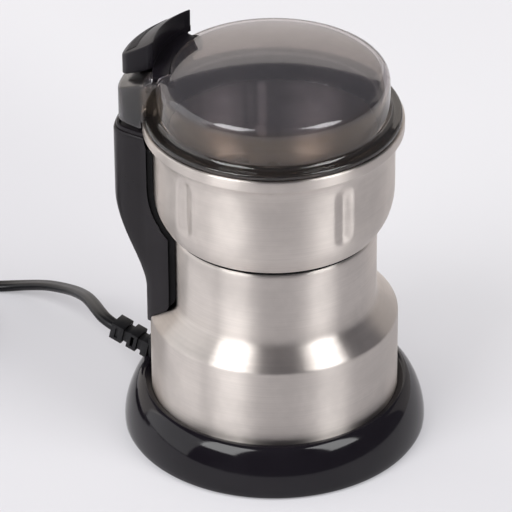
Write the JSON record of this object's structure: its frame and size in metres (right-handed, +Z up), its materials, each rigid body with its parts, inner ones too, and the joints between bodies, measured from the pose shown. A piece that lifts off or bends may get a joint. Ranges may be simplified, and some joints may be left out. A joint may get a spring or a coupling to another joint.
{
  "type": "electric spice grinder",
  "caption": "Small electric spice and coffee grinder: steel body and bowl, smoky clear lid with a press lever, side switch housing, black base and mains cord.",
  "frame": {"origin": "on the body's vertical axis at the plane that the rubber feet stand on", "axes": "+Z up along the motor shaft; -X points at the switch housing, the lid's lug, the lever and the cord's outlet; +Y completes the right-handed frame"},
  "size_m": [0.2932, 0.114, 0.1558],
  "materials": {
    "black_gloss": "gloss",
    "black_satin": "satin",
    "rubber": "matte",
    "brushed_steel": "circumferentially brushed satin",
    "screw_steel": "satin",
    "blade_steel": "polished",
    "smoky_clear": "smoky clear moulded plastic, polished",
    "cast_metal": "cast",
    "bronze": "sintered",
    "lamination": "stacked laminations",
    "enamelled_wire": "gloss",
    "copper": "turned",
    "brass": "satin",
    "carbon": "matte",
    "white_nylon": "satin",
    "switch_black": "satin",
    "red_plastic": "gloss",
    "cord_black": "satin vinyl",
    "plated_pin": "nickel plated"
  },
  "bodies": {
    "body": {"base": "black_gloss", "base_cover": "black_satin", "rubber_feet": "rubber", "cover_screws": "screw_steel", "housing_shell": "brushed_steel", "lower_bracket": "cast_metal", "deck_screws": "screw_steel", "lower_bearing": "bronze", "stator_core": "lamination", "field_coils": "enamelled_wire", "stator_screws": "screw_steel", "upper_bracket": "cast_metal", "upper_bearing": "bronze", "brush_holders": "brass", "carbon_brushes": "carbon", "brush_springs": "screw_steel", "bowl_support": "black_satin", "bowl": "brushed_steel", "bowl_screws": "screw_steel", "shaft_seal": "rubber", "switch_housing": "black_satin", "housing_liner": "black_satin", "rod_guide": "white_nylon", "rod_spring": "screw_steel", "switch_body": "switch_black", "housing_screws": "screw_steel", "strain_relief": "cord_black", "cord_clamp": "white_nylon", "cord_lead": "cord_black", "cord_coil": "cord_black", "cord_tail": "cord_black", "plug_body": "cord_black", "plug_pins": "plated_pin"},
    "rotor": {"motor_shaft": "screw_steel", "armature_core": "lamination", "armature_windings": "enamelled_wire", "commutator": "copper", "cooling_fan": "white_nylon", "blade_hub": "black_satin", "blade": "blade_steel", "blade_nut": "blade_steel"},
    "lid": {"lid": "smoky_clear", "lever_spring": "screw_steel"},
    "lever": {"press_lever": "black_satin", "lever_clip": "screw_steel"},
    "rod": {"push_rod": "white_nylon"},
    "button": {"switch_button": "red_plastic"}
  },
  "joints": [
    {"name": "rotor_spin", "type": "hinge", "parent": "body", "child": "rotor", "pos_m": [0, 0, 0.1], "axis": [0, 0, 1], "continuous": true},
    {"name": "lid_lift", "type": "slide", "parent": "body", "child": "lid", "axis": [0, 0, 1], "range_m": [0, 0.06]},
    {"name": "lever_press", "type": "slide", "parent": "lid", "child": "lever", "axis": [0, 0, -1], "range_m": [0, 0.0016], "stiffness_N_per_m": 400, "springref_m": -0.004, "deforming": ["lever_spring"]},
    {"name": "rod_press", "type": "slide", "parent": "body", "child": "rod", "axis": [0, 0, -1], "range_m": [0, 0.0016], "stiffness_N_per_m": 150, "springref_m": -0.003, "deforming": ["rod_spring"]},
    {"name": "button_press", "type": "slide", "parent": "body", "child": "button", "axis": [0, 0, -1], "range_m": [0, 0.0016], "stiffness_N_per_m": 100, "springref_m": -0.002}
  ],
  "couplings": [
    {"joint": "rod_press", "follows": "lever_press", "ratio": 1},
    {"joint": "button_press", "follows": "lever_press", "ratio": 1}
  ]
}
